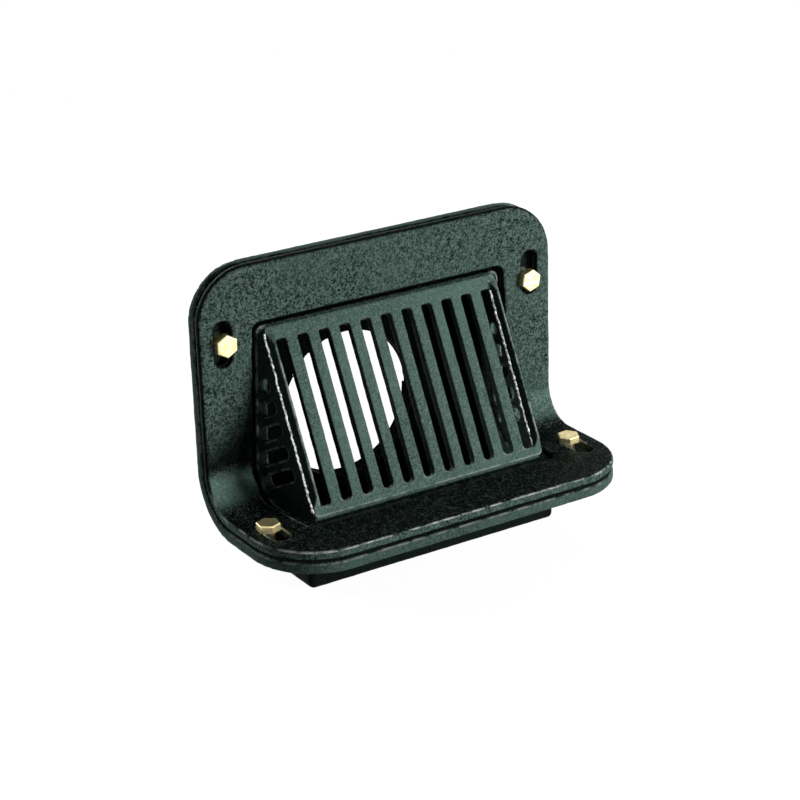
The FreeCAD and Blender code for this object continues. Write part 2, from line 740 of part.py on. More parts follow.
pieces = [make_clamp(), make_drain_body(), make_grate()]
for piece in pieces:
    place(piece)
for name, (across, along) in BOLTS.items():
    bolt = make_bolt(name)
    if name.startswith("upper"):
        facing_out = FreeCAD.Rotation(FreeCAD.Vector(1, 0, 0), 90)
        bolt.Placement = FreeCAD.Placement(FreeCAD.Vector(), facing_out)
        place(bolt, x=across, z=along)
    else:
        place(bolt, x=across, y=along)
    pieces.append(bolt)
doc.recompute()

for item in doc.Objects:
    if "Invalid" in item.State or "Error" in item.State:
        raise RuntimeError(f"{item.Label} failed: {item.State}")
for piece in pieces:
    if piece.Shape.isNull() or not piece.Shape.isValid():
        raise RuntimeError(f"{piece.Label} has no valid shape")

os.makedirs("parts", exist_ok=True)
for piece in pieces:
    piece.Label = piece.Name
    piece.Shape.exportStep(f"parts/{piece.Label}.step")
    box = piece.Shape.BoundBox
    print(piece.Label, len(piece.Shape.Solids), "solid", round(piece.Shape.Volume), "mm3",
          [round(v, 1) for v in (box.XMin, box.XMax, box.YMin, box.YMax, box.ZMin, box.ZMax)])
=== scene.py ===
import json
import math

import bmesh
import bpy
from mathutils import Matrix, Vector


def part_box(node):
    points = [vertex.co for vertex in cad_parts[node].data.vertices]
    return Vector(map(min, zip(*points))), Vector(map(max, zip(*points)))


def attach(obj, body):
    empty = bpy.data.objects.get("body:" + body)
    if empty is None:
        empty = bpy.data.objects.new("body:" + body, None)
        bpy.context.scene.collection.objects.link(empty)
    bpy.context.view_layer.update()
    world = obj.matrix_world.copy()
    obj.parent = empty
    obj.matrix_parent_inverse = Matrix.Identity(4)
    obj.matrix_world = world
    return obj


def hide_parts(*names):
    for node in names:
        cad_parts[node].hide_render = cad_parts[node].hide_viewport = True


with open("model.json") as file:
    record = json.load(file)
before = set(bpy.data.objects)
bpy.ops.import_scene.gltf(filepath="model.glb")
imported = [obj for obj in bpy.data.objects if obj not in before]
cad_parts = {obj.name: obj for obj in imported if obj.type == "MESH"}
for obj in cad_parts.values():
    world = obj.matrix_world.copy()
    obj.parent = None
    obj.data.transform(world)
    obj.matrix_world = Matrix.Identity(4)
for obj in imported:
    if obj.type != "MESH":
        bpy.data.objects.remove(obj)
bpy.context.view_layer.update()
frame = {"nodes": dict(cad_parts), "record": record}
print("frame loaded:", ", ".join(sorted(frame["nodes"])))


# Node and mesh helpers

noiseMiddle = 0.5   # noise runs from 0 to 1


def addNode(tree, kind, inputs=None, **props):
    node = tree.nodes.new(kind)
    for name, value in props.items():
        setattr(node, name, value)
    for name, value in (inputs or {}).items():
        if isinstance(value, bpy.types.NodeSocket):
            tree.links.new(value, node.inputs[name])
        else:
            node.inputs[name].default_value = value
    return node


def mathNode(tree, operation, first, second):
    return addNode(tree, "ShaderNodeMath", {0: first, 1: second}, operation=operation).outputs[0]


def vectorNode(tree, operation, first, second=None):
    inputs = {0: first}
    if second is not None:
        inputs["Scale" if operation == "SCALE" else 1] = second
    node = addNode(tree, "ShaderNodeVectorMath", inputs, operation=operation)
    return node.outputs["Value" if operation in ("LENGTH", "DOT_PRODUCT") else "Vector"]


def rangeNode(tree, value, source, target):
    return addNode(tree, "ShaderNodeMapRange", {
        "Value": value,
        "From Min": source[0], "From Max": source[1],
        "To Min": target[0], "To Max": target[1],
    }).outputs[0]


def rampNode(tree, factor, stops):
    node = addNode(tree, "ShaderNodeValToRGB", {"Fac": factor})
    elements = node.color_ramp.elements
    while len(elements) < len(stops):
        elements.new(0.5)   # moved to its place below
    for element, (place, colour) in zip(elements, stops):
        element.position = place
        element.color = colour
    return node.outputs["Color"]


# Sockets 6 and 7 are the Mix node's colours, and output 2 is its mixed colour
def mixColours(tree, factor, first, second):
    return addNode(tree, "ShaderNodeMix", {0: factor, 6: first, 7: second}, data_type="RGBA").outputs[2]


def bumpNode(tree, height, depth):
    return addNode(tree, "ShaderNodeBump", {"Strength": 1.0, "Distance": depth, "Height": height}).outputs[0]


def emptyMaterial(name):
    material = bpy.data.materials.new(name)
    material.use_nodes = True
    material.node_tree.nodes.clear()
    return material, material.node_tree


def principledSurface(tree, inputs):
    shader = addNode(tree, "ShaderNodeBsdfPrincipled", inputs)
    addNode(tree, "ShaderNodeOutputMaterial", {"Surface": shader.outputs[0]})


def grey(value):
    return (value, value, value, 1)


meshSettings = {
    "mergeDistance": 1e-6,
    "flatAngle": 0.5,   # facets that meet within these degrees become one face
}


# A fresh closed mesh from a CAD node's loose triangles
def meshOfNode(nodeName, pieceName):
    source = frame["nodes"][nodeName].data
    mesh = bpy.data.meshes.new(pieceName)
    mesh.from_pydata([v.co for v in source.vertices], [], [p.vertices for p in source.polygons])
    work = bmesh.new()
    work.from_mesh(mesh)
    flatAngle = math.radians(meshSettings["flatAngle"])
    bmesh.ops.remove_doubles(work, verts=work.verts, dist=meshSettings["mergeDistance"])
    bmesh.ops.dissolve_limit(work, angle_limit=flatAngle, verts=work.verts, edges=work.edges)
    work.to_mesh(mesh)
    work.free()
    return mesh


def newPiece(pieceName, mesh):
    piece = bpy.data.objects.new(pieceName, mesh)
    bpy.context.scene.collection.objects.link(piece)
    return piece


# The evaluated result becomes the object's own plain mesh
def bakeModifiers(piece):
    depsgraph = bpy.context.evaluated_depsgraph_get()
    mesh = bpy.data.meshes.new_from_object(piece.evaluated_get(depsgraph))
    piece.modifiers.clear()
    piece.data = mesh


def newTree(name, sockets):
    tree = bpy.data.node_groups.new(name, "GeometryNodeTree")
    tree.is_modifier = True
    tree.interface.new_socket("Geometry", in_out="INPUT", socket_type="NodeSocketGeometry")
    for socketName, kind in sockets:
        tree.interface.new_socket(socketName, in_out="INPUT", socket_type="NodeSocket" + kind)
    tree.interface.new_socket("Geometry", in_out="OUTPUT", socket_type="NodeSocketGeometry")
    return tree, tree.nodes.new("NodeGroupInput").outputs, tree.nodes.new("NodeGroupOutput").inputs


# Modifier inputs are set by the sockets' identifiers
def addTree(piece, tree, values):
    modifier = piece.modifiers.new(tree.name, "NODES")
    modifier.node_group = tree
    for item in tree.interface.items_tree:
        if item.in_out == "INPUT" and item.name in values:
            modifier[item.identifier] = values[item.name]


# A round section along a curve, times the curve's own radius at each point
def sweptSection(tree, curve, sides, radius):
    section = addNode(tree, "GeometryNodeCurvePrimitiveCircle", {"Resolution": sides, "Radius": radius})
    return addNode(tree, "GeometryNodeCurveToMesh", {
        "Curve": curve, "Profile Curve": section.outputs[0], "Fill Caps": True,
    }).outputs[0]


# Every tree ends with real geometry and its material
def endTree(tree, geometry, material, groupOut):
    real = addNode(tree, "GeometryNodeRealizeInstances", {"Geometry": geometry})
    smooth = addNode(tree, "GeometryNodeSetShadeSmooth", {0: real.outputs[0]})
    finish = addNode(tree, "GeometryNodeSetMaterial", {"Geometry": smooth.outputs[0], "Material": material})
    tree.links.new(finish.outputs[0], groupOut["Geometry"])


# Dark green enamel over a rough sand casting: pitted and chipped along its edges, with painted light, shade,
# glints and edge highlights on its forms

enamelSettings = {
    "pitColour": (0.003, 0.010, 0.008, 1),
    "enamelColour": (0.064, 0.108, 0.091, 1),
    "crestColour": (0.168, 0.240, 0.212, 1),
    "chipAndHighlightColour": (0.850, 0.900, 0.870, 1),
    "paintedShadeTone": 0.10,           # how much of the colour is left under the painted shade below and behind the flanges, in the gap and on the rim
    "footShadeTone": 0.12,            # the same under the painted shade at the left foot of the upright
    "grainScale": 800,            # grains of about 1.2 mm
    "pebbleScale": 300,           # lumps of about 3 mm
    "patchScale": 16,             # tone changes over 60 mm
    "chipAndHighlightScale": 120,             # chips and painted edge highlights of about 8 mm along the edges
    "noiseDetail": 2,
    "chipAndHighlightDetail": 4,
    "noiseRough": 0.6,
    "pitScale": 300,
    "pitReach": 0.24,
    "grainShare": 0.68,           # what the grain, the lumps and the pits give to the height
    "pebbleShare": 0.32,
    "pitShare": 0.12,
    "middleHeight": 0.49,         # the height that has the plain enamel colour
    "patchRange": (0.40, 0.62),   # patches in which the grain fades
    "patchSmooth": 0.50,          # how far it fades in the smoothest of them
    "bendRange": (0.0, 0.4),
    "bendSmooth": 0.70,           # the same on the bend, where a smooth reflection is painted
    "toneRange": (0.3, 0.7),
    "toneShift": (0.84, 1.12),    # tone of the darkest and the lightest patches
    "glintRange": (0.51, 0.64),
    "glintShare": 0.95,           # painted glints on the flats that face up
    "chipAndHighlightRange": (0.42, 0.56),
    "wearAndHighlightFull": 0.5,              # share of a coat's reach in which the chips and painted edge highlights are full
    "bumpDepth": 0.0009,
    "roughRange": (0.3, 0.7),
    "rough": (0.30, 0.52),        # in the hollows and on the crests of the grain
    "specular": 0.006,
}
# How light and how even each coat is, the grate's coat lighter as painted light and the thread's darker as
# painted shade;
# how much painted light, or below zero painted shade, it has on a bend, on a flat that faces up and on a
# side; and how strong its chips and painted edge highlights are: they lie at a depth behind the clamp's
# face, within a reach of it, both given per coat
clampCoat = {"tone": 0.98, "spread": 0.105, "bend": 2.2, "flat": -0.90, "side": 0.0,
             "chipsAndHighlights": 1.0, "wearAndHighlightAt": 0.0002, "wearAndHighlightReach": 0.0012}
bodyCoat = {"tone": 1.05, "spread": 0.260, "bend": 0.0, "flat": 3.5, "side": 0.0,
            "chipsAndHighlights": 0.4, "wearAndHighlightAt": 0.0090, "wearAndHighlightReach": 0.0010}
grateCoat = {"tone": 1.80, "spread": 0.300, "bend": 0.0, "flat": -0.88, "side": -0.75,
             "chipsAndHighlights": 0.36, "wearAndHighlightAt": 0.0, "wearAndHighlightReach": 1.0}
threadCoat = {"tone": 0.12, "spread": 0.200, "bend": 0.0, "flat": 0.0, "side": 0.0,
              "chipsAndHighlights": 0.0, "wearAndHighlightAt": 0.0, "wearAndHighlightReach": 1.0}


def enamelMaterial(name, settings, coat):
    material, tree = emptyMaterial(name)
    place = addNode(tree, "ShaderNodeTexCoord").outputs["Object"]

    def noise(scale, detail):
        inputs = {"Vector": place, "Scale": scale, "Detail": detail, "Roughness": settings["noiseRough"]}
        return addNode(tree, "ShaderNodeTexNoise", inputs).outputs[0]

    def attribute(attributeName):
        return addNode(tree, "ShaderNodeAttribute", attribute_name=attributeName).outputs["Fac"]

    def times(first, second):
        return mathNode(tree, "MULTIPLY", first, second)

    grain = noise(settings["grainScale"], settings["noiseDetail"])
    pebble = noise(settings["pebbleScale"], settings["noiseDetail"])
    patch = noise(settings["patchScale"], settings["noiseDetail"])
    cells = addNode(tree, "ShaderNodeTexVoronoi", {"Vector": place, "Scale": settings["pitScale"]})
    pit = rangeNode(tree, cells.outputs["Distance"], (0.0, settings["pitReach"]), (1.0, 0.0))
    grainHeight = times(grain, settings["grainShare"])
    pebbleHeight = times(pebble, settings["pebbleShare"])
    lumps = mathNode(tree, "ADD", grainHeight, pebbleHeight)
    height = mathNode(tree, "SUBTRACT", lumps, times(pit, settings["pitShare"]))
    middle = settings["middleHeight"]
    colour = rampNode(tree, height, [
        (middle - coat["spread"], settings["pitColour"]),
        (middle, settings["enamelColour"]),
        (middle + coat["spread"], settings["crestColour"]),
    ])
    # The grain fades in smoother patches, and on the bend under its painted reflection
    patchFade = rangeNode(tree, patch, settings["patchRange"], (0.0, settings["patchSmooth"]))
    bendFade = rangeNode(tree, attribute("bend"), settings["bendRange"], (0.0, settings["bendSmooth"]))
    fade = mathNode(tree, "MAXIMUM", patchFade, bendFade)
    even = mixColours(tree, fade, colour, settings["enamelColour"])
    # Each form has its own tone, with painted shade and painted light by where it lies and which way it
    # faces
    shifts = [shift * coat["tone"] for shift in settings["toneShift"]]
    tone = rangeNode(tree, patch, settings["toneRange"], shifts)
    # Painted shade below and behind the flanges, in the gap between the plates and on the upright's rim
    paintedShadeTone = rangeNode(tree, attribute("paintedShade"), (0.0, 1.0), (1.0, settings["paintedShadeTone"]))
    # Painted shade at the left foot of the upright
    footShadeTone = rangeNode(tree, attribute("footShade"), (0.0, 1.0), (1.0, settings["footShadeTone"]))
    formTones = [rangeNode(tree, attribute(form), (0.0, 1.0), (1.0, 1.0 + coat[form]))
                 for form in ("bend", "flat", "side")]
    for formTone in (paintedShadeTone, footShadeTone, *formTones):
        tone = times(tone, formTone)
    toned = vectorNode(tree, "SCALE", even, tone)
    # Painted glints on the flats that face up, then chips along the edges that are also painted highlights
    glints = rangeNode(tree, lumps, settings["glintRange"], (0.0, settings["glintShare"]))
    glinted = times(times(attribute("flat"), glints), paintedShadeTone)
    fromWearAndHighlight = mathNode(tree, "SUBTRACT", attribute("depth"), coat["wearAndHighlightAt"])
    offLine = mathNode(tree, "ABSOLUTE", fromWearAndHighlight, 0.0)
    wearAndHighlightFull = settings["wearAndHighlightFull"] * coat["wearAndHighlightReach"]
    line = rangeNode(tree, offLine, (wearAndHighlightFull, coat["wearAndHighlightReach"]), (coat["chipsAndHighlights"], 0.0))
    chipAndHighlightNoise = noise(settings["chipAndHighlightScale"], settings["chipAndHighlightDetail"])
    chipsAndHighlights = rangeNode(tree, chipAndHighlightNoise, settings["chipAndHighlightRange"], (0.0, 1.0))
    chippedAndHighlighted = times(attribute("edge"), times(line, chipsAndHighlights))
    shown = mixColours(tree, glinted, toned, settings["crestColour"])
    shown = mixColours(tree, chippedAndHighlighted, shown, settings["chipAndHighlightColour"])
    principledSurface(tree, {
        "Base Color": shown,
        "Roughness": rangeNode(tree, grain, settings["roughRange"], settings["rough"]),
        "Normal": bumpNode(tree, height, settings["bumpDepth"]),
        "Specular IOR Level": settings["specular"],
    })
    return material


# Yellow plating on the bolts

platingSettings = {
    "dull": (0.66, 0.52, 0.20, 1),
    "bright": (0.86, 0.77, 0.48, 1),
    "dullAt": 0.36,          # where the streaks are dull and where they are bright
    "brightAt": 0.58,
    "streakScale": 320,
    "streakDetail": 4,
    "streakRough": 0.65,
    "roughRange": (0.3, 0.7),
    "rough": (0.50, 0.30),   # on the dull and on the bright streaks
    "bumpDepth": 0.00006,
}


def platingMaterial(name, settings):
    material, tree = emptyMaterial(name)
    place = addNode(tree, "ShaderNodeTexCoord").outputs["Object"]
    streaks = addNode(tree, "ShaderNodeTexNoise", {
        "Vector": place, "Scale": settings["streakScale"],
        "Detail": settings["streakDetail"], "Roughness": settings["streakRough"],
    }).outputs[0]
    principledSurface(tree, {
        "Base Color": rampNode(tree, streaks, [
            (settings["dullAt"], settings["dull"]),
            (settings["brightAt"], settings["bright"]),
        ]),
        "Roughness": rangeNode(tree, streaks, settings["roughRange"], settings["rough"]),
        "Normal": bumpNode(tree, streaks, settings["bumpDepth"]),
        "Metallic": 1.0,
    })
    return material


# Bare cast iron, ground bright, as the ridge edges' beads and their painted highlights

ironSettings = {
    "dark": (0.20, 0.23, 0.22, 1),
    "bright": (0.80, 0.82, 0.80, 1),
    "darkAt": 0.40,
    "brightAt": 0.56,
    "grainScale": 500,
    "grainDetail": 2,
    "rough": 0.4,
    "bumpDepth": 0.0002,
}


def ironMaterial(name, settings):
    material, tree = emptyMaterial(name)
    place = addNode(tree, "ShaderNodeTexCoord").outputs["Object"]
    grain = addNode(tree, "ShaderNodeTexNoise", {
        "Vector": place, "Scale": settings["grainScale"], "Detail": settings["grainDetail"],
    }).outputs[0]
    principledSurface(tree, {
        "Base Color": rampNode(tree, grain, [
            (settings["darkAt"], settings["dark"]),
            (settings["brightAt"], settings["bright"]),
        ]),
        "Roughness": settings["rough"],
        "Normal": bumpNode(tree, grain, settings["bumpDepth"]),
        "Metallic": 1.0,
    })
    return material


# Casting skin: uneven waves and small pits pushed along the normals, with each form marked for the coat's
# painted light and shade

# How far a face leans for a mark to begin and be full, and the same for places
formSettings = {
    "bendStart": (0.05, 0.30),        # upward lean at the top of the bend
    "bendEnd": (0.65, 0.92),          # and at its foot
    "bendAcross": (-0.10, 0.10),
    "bendShares": (1.0, 0.3),         # the painted reflection on the bend is stronger to the left
    "rimLean": (0.30, 0.70),
    "flatLean": (0.80, 0.95),
    "sideLean": (0.30, 0.65),
    "footShadeFade": (0.45, 1.0),         # shares of the reach of the painted shade at the foot
    "footShadeFoot": (-0.06, 0.04),
    "footShadeInner": -0.2,
    "edgeBlur": 1,
    "waveDetail": 1,
    "pitDetail": 2,
}


def castSkinTree():
    tree, groupIn, groupOut = newTree("castSkin", [
        ("Wave Depth", "Float"), ("Wave Scale", "Float"),
        ("Pit Depth", "Float"), ("Pit Scale", "Float"),
        ("Edge Start", "Float"), ("Edge Full", "Float"),
        ("Wear And Highlight Below", "Float"), ("Wear And Highlight Beyond", "Float"),
        ("Side Beyond", "Float"), ("Flat Below", "Float"),
        ("Shade Below", "Float"), ("Shade Behind", "Float"),
        ("Rim Front", "Float"), ("Rim Back", "Float"), ("Rim Above", "Float"),
        ("Hopper Centre", "Vector"), ("Rear Start", "Float"),
        ("Rear Full", "Float"), ("Rear Light", "Float"),
        ("Bend Centre", "Vector"), ("Bend Radius", "Float"),
        ("Gap Front", "Float"), ("Gap Back", "Float"),
        ("Foot Shade Corner", "Vector"), ("Foot Shade Reach", "Vector"),
        ("Seed", "Float"), ("Material", "Material"),
    ])
    place = addNode(tree, "GeometryNodeInputPosition").outputs[0]
    across = addNode(tree, "ShaderNodeSeparateXYZ", {0: place}).outputs
    normal = addNode(tree, "GeometryNodeInputNormal").outputs[0]
    lean = addNode(tree, "ShaderNodeSeparateXYZ", {0: normal}).outputs

    def mark(geometry, attributeName, value):
        return addNode(tree, "GeometryNodeStoreNamedAttribute", {
            "Geometry": geometry, "Name": attributeName, "Value": value,
        }, data_type="FLOAT", domain="POINT").outputs[0]

    def over(value, limit):
        return mathNode(tree, "GREATER_THAN", value, limit)

    def under(value, limit):
        return mathNode(tree, "LESS_THAN", value, limit)

    def either(first, second):
        return mathNode(tree, "MAXIMUM", first, second)

    def product(*factors):
        result = factors[0]
        for factor in factors[1:]:
            result = mathNode(tree, "MULTIPLY", result, factor)
        return result

    def between(value, low, high):
        return product(over(value, low), under(value, high))

    # Depth behind the clamp's face, followed round the bend
    fromCentre = vectorNode(tree, "SUBTRACT", place, groupIn["Bend Centre"])
    backAndDown = vectorNode(tree, "MULTIPLY", fromCentre, (0, 1, -1))
    outside = vectorNode(tree, "MAXIMUM", backAndDown, (0, 0, 0))
    faceDepth = mathNode(tree, "SUBTRACT", vectorNode(tree, "LENGTH", outside), groupIn["Bend Radius"])
    marked = mark(groupIn["Geometry"], "depth", faceDepth)

    # Edges for the chips, which are also painted highlights
    angle = addNode(tree, "GeometryNodeInputMeshEdgeAngle").outputs["Signed Angle"]
    blurInputs = {"Value": angle, "Iterations": formSettings["edgeBlur"]}
    blurred = addNode(tree, "GeometryNodeBlurAttribute", blurInputs, data_type="FLOAT").outputs[0]
    edge = rangeNode(tree, blurred, (groupIn["Edge Start"], groupIn["Edge Full"]), (0.0, 1.0))
    fromMiddle = mathNode(tree, "ABSOLUTE", across["X"], 0.0)
    wearAndHighlightZone = either(under(across["Z"], groupIn["Wear And Highlight Below"]), over(fromMiddle, groupIn["Wear And Highlight Beyond"]))
    marked = mark(marked, "edge", product(edge, wearAndHighlightZone))

    # Painted shade under and behind the flanges, in the gap between the two plates and on the rim of the
    # upright
    below = under(across["Z"], groupIn["Shade Below"])
    behind = over(across["Y"], groupIn["Shade Behind"])
    high = over(across["Z"], groupIn["Rim Above"])
    rim = product(between(faceDepth, groupIn["Rim Front"], groupIn["Rim Back"]), high)
    inGap = between(faceDepth, groupIn["Gap Front"], groupIn["Gap Back"])
    hidden = either(either(either(below, behind), rim), inGap)
    # The painted shade on the outside of the hopper is weaker towards the rear
    fromHopper = vectorNode(tree, "SUBTRACT", place, groupIn["Hopper Centre"])
    facing = vectorNode(tree, "DOT_PRODUCT", normal, fromHopper)
    rear = rangeNode(tree, across["Y"], (groupIn["Rear Start"], groupIn["Rear Full"]), (0.0, 1.0))
    lightened = product(over(facing, 0.0), rear, groupIn["Rear Light"])
    marked = mark(marked, "paintedShade", product(hidden, mathNode(tree, "SUBTRACT", 1.0, lightened)))

    # Painted shade at the left foot of the upright, fading upwards and outwards from the grate
    fromCorner = vectorNode(tree, "SUBTRACT", place, groupIn["Foot Shade Corner"])
    shares = vectorNode(tree, "DIVIDE", fromCorner, groupIn["Foot Shade Reach"])
    share = addNode(tree, "ShaderNodeSeparateXYZ", {0: shares}).outputs
    spent = mathNode(tree, "ADD", share["X"], share["Z"])
    footShade = product(rangeNode(tree, spent, formSettings["footShadeFade"], (1.0, 0.0)),
                    rangeNode(tree, share["Z"], formSettings["footShadeFoot"], (0.0, 1.0)),
                    over(share["X"], formSettings["footShadeInner"]))
    marked = mark(marked, "footShade", footShade)

    # Marks for painted light and shade: a painted reflection on the bend, painted light on the back of the
    # upright's rim, flats that face up, and sides
    past = addNode(tree, "ShaderNodeSeparateXYZ", {0: backAndDown}).outputs
    bend = product(rangeNode(tree, lean["Z"], formSettings["bendStart"], (0.0, 1.0)),
                   rangeNode(tree, lean["Z"], formSettings["bendEnd"], (1.0, 0.0)),
                   rangeNode(tree, across["X"], formSettings["bendAcross"], formSettings["bendShares"]),
                   over(past["Y"], 0.0), over(past["Z"], 0.0))
    rimBack = product(between(faceDepth, groupIn["Rim Back"], groupIn["Gap Front"]), high,
                      rangeNode(tree, lean["Z"], formSettings["rimLean"], (0.0, 1.0)))
    marked = mark(marked, "bend", either(bend, rimBack))
    flat = product(rangeNode(tree, lean["Z"], formSettings["flatLean"], (0.0, 1.0)),
                   under(across["Z"], groupIn["Flat Below"]))
    marked = mark(marked, "flat", flat)
    sideways = mathNode(tree, "ABSOLUTE", lean["X"], 0.0)
    side = rangeNode(tree, sideways, formSettings["sideLean"], (0.0, 1.0))
    marked = mark(marked, "side", either(side, over(fromMiddle, groupIn["Side Beyond"])))

    # Waves and pits
    def push(scale, depth, detail):
        inputs = {"Vector": place, "W": groupIn["Seed"], "Scale": scale, "Detail": detail}
        noise = addNode(tree, "ShaderNodeTexNoise", inputs, noise_dimensions="4D").outputs[0]
        return mathNode(tree, "MULTIPLY", mathNode(tree, "SUBTRACT", noise, noiseMiddle), depth)

    waves = push(groupIn["Wave Scale"], groupIn["Wave Depth"], formSettings["waveDetail"])
    pits = push(groupIn["Pit Scale"], groupIn["Pit Depth"], formSettings["pitDetail"])
    depth = mathNode(tree, "ADD", waves, pits)
    offset = vectorNode(tree, "SCALE", normal, depth)
    moved = addNode(tree, "GeometryNodeSetPosition", {"Geometry": marked, "Offset": offset})
    endTree(tree, moved.outputs[0], groupIn["Material"], groupOut)
    return tree


castings = {
    "drain_body": {
        "slot": "enamelled_body", "coat": bodyCoat,
        "voxel": 0.00166, "tilt": 0.0, "rounding": 2, "Seed": 1.0,
        "Edge Start": 0.17, "Edge Full": 0.28, "Wear And Highlight Below": 1.0,
        "Shade Below": 0.0315, "Shade Behind": 0.0370,   # painted shade under the deck flange and behind the upright flange
        "Hopper Centre": (0.0, 0.045, 0.075),
        "Rear Start": 0.020, "Rear Full": 0.070, "Rear Light": 0.62,
    },
    "flashing_clamp": {
        "slot": "enamelled_clamp", "coat": clampCoat,
        "voxel": 0.0012, "tilt": 0.0, "rounding": 2, "Seed": 4.0,
        "Edge Start": 0.15, "Edge Full": 0.24, "Wear And Highlight Below": 0.060,
        # Painted shade on the upright's rim, and on the deck's flats below the given height
        "Rim Front": 0.0004, "Rim Back": 0.0038, "Rim Above": 0.060, "Flat Below": 0.060,
        # Painted shade at the left foot of the upright
        "Foot Shade Corner": (-0.098, 0.0, 0.0745), "Foot Shade Reach": (-0.10, 1.0, 0.055),
    },
    "oblique_grate": {
        "slot": "enamelled_grate", "coat": grateCoat,
        "voxel": 0.00095, "tilt": 26.6, "rounding": 1, "Seed": 7.0,
        "Edge Start": 0.10, "Edge Full": 0.22, "Wear And Highlight Below": 0.058,
        # Chips and painted edge highlights beyond the first reach across, painted shade on the sides beyond
        # the second
        "Wear And Highlight Beyond": 0.0875, "Side Beyond": 0.0932,
    },
}
# What the three castings share, unless a casting has its own value: places out of reach leave a mark out
skinSettings = {
    "roundingFactor": 0.5,                    # strength of each smoothing step
    "Wear And Highlight Beyond": 1.0,
    "Side Beyond": 1.0,
    "Shade Below": -1.0,
    "Shade Behind": 1.0,
    "Rim Front": 1.0,
    "Rim Back": 1.0,
    "Rim Above": 1.0,
    "Flat Below": 1.0,
    "Foot Shade Corner": (0.0, 0.0, 1.0),
    "Foot Shade Reach": (1.0, 1.0, 0.01),
    "Hopper Centre": (0.0, 0.0, 0.0),
    "Rear Start": 1.0,
    "Rear Full": 2.0,
    "Rear Light": 0.0,
    "Bend Centre": (0.0, -0.00455, 0.0735),   # of the clamp's bend, seen from the side
    "Bend Radius": 0.025,
    # Depths of the gap between the two plates, where shade is painted
    "Gap Front": 0.0053,
    "Gap Back": 0.0089,
    "Wave Depth": 0.0006,
    "Wave Scale": 60.0,
    "Pit Depth": 0.0005,
    "Pit Scale": 260.0,
}


def makeCasting(nodeName, settings, tree):
    pieceName = nodeName + "_casting"
    piece = newPiece(pieceName, meshOfNode(nodeName, pieceName))
    turn = Matrix.Rotation(math.radians(settings["tilt"]), 4, "X")   # lays the grate's bars along the voxels
    piece.data.transform(turn)
    remesh = piece.modifiers.new("remesh", "REMESH")
    remesh.mode = "VOXEL"
    remesh.voxel_size = settings["voxel"]
    rounding = piece.modifiers.new("rounding", "SMOOTH")
    rounding.factor = skinSettings["roundingFactor"]
    rounding.iterations = settings["rounding"]
    bakeModifiers(piece)
    piece.data.transform(turn.inverted())
    material = enamelMaterial(nodeName + "_enamel", enamelSettings, settings["coat"])
    addTree(piece, tree, {**skinSettings, **settings, "Material": material})
    bakeModifiers(piece)
    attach(piece, "root")
    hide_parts(nodeName)
    print(pieceName, len(piece.data.polygons), "faces")


# Screw thread: a round ridge along a helix, thinner at its two ends

threadSettings = {
    "stepsPerTurn": 96,
    "sectionSides": 6,
    "runOut": 0.04,    # share of the helix in which the ridge grows
    "thinEnd": 0.05,   # share of its thickness at the very end
}
towardsFront = Vector((math.radians(90), 0, 0))   # turns the helix's axis from upright to the front


def threadTree():
    tree, groupIn, groupOut = newTree("threadRidge", [
        ("Radius", "Float"), ("Pitch", "Float"), ("Turns", "Float"), ("Ridge", "Float"),
        ("Place", "Vector"), ("Turn", "Vector"), ("Material", "Material"),
    ])
    height = mathNode(tree, "MULTIPLY", groupIn["Pitch"], groupIn["Turns"])
    helix = addNode(tree, "GeometryNodeCurveSpiral", {
        "Resolution": threadSettings["stepsPerTurn"], "Rotations": groupIn["Turns"],
        "Start Radius": groupIn["Radius"], "End Radius": groupIn["Radius"], "Height": height,
    })
    factor = addNode(tree, "GeometryNodeSplineParameter").outputs["Factor"]
    fromEnd = mathNode(tree, "MINIMUM", factor, mathNode(tree, "SUBTRACT", 1.0, factor))
    thick = rangeNode(tree, fromEnd, (0.0, threadSettings["runOut"]), (threadSettings["thinEnd"], 1.0))
    sized = addNode(tree, "GeometryNodeSetCurveRadius", {"Curve": helix.outputs[0], "Radius": thick})
    ridge = sweptSection(tree, sized.outputs[0], threadSettings["sectionSides"], groupIn["Ridge"])
    placed = addNode(tree, "GeometryNodeTransform", {
        "Geometry": ridge, "Translation": groupIn["Place"], "Rotation": groupIn["Turn"],
    })
    endTree(tree, placed.outputs[0], groupIn["Material"], groupOut)
    return tree


def makeThread(pieceName, values, tree, material):
    piece = newPiece(pieceName, bpy.data.meshes.new(pieceName))
    addTree(piece, tree, {**values, "Material": material})
    bakeModifiers(piece)
    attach(piece, "root")
    return piece


outletThread = {"Pitch": 0.003175, "Turns": 4.6, "Ridge": 0.0011}


def makeOutletThread(tree, material):
    mount = next(m for m in frame["record"]["mounts"] if m["name"] == "outlet")
    half = outletThread["Pitch"] * outletThread["Turns"] / 2
    return makeThread("outlet_thread", {
        **outletThread,
        "Radius": mount["dims"]["r_mm"] / 1000,
        "Place": Vector(mount["pos_m"]) + Vector((0, half, 0)),
        "Turn": towardsFront,
    }, tree, material)


# Rough bare edges where the ridges of the grate were ground: pale iron beads that also stand for painted
# highlights, so only the edges that face left get them

ridgeEdges = {
    "sides": (-0.0926, 0.0861),   # across, at the foot of each ridge's left slope
    "foot": (-0.0350, 0.0536),    # lower end, as back and up
    "head": (0.0193, 0.1629),     # upper end
    "sectionSides": 6,
    "grainDetail": 1,
    "Step": 0.0007,
    "Radius": 0.00100,
    "Thinnest": 0.02,             # share of the radius where the enamel is whole
    "Bare Highlight Start": 0.50,           # grain at which the bare metal, which also stands for painted highlights, begins and is full
    "Bare Highlight Full": 0.58,
    "Grain Scale": 330.0,
    "Shake": 0.0020,
}


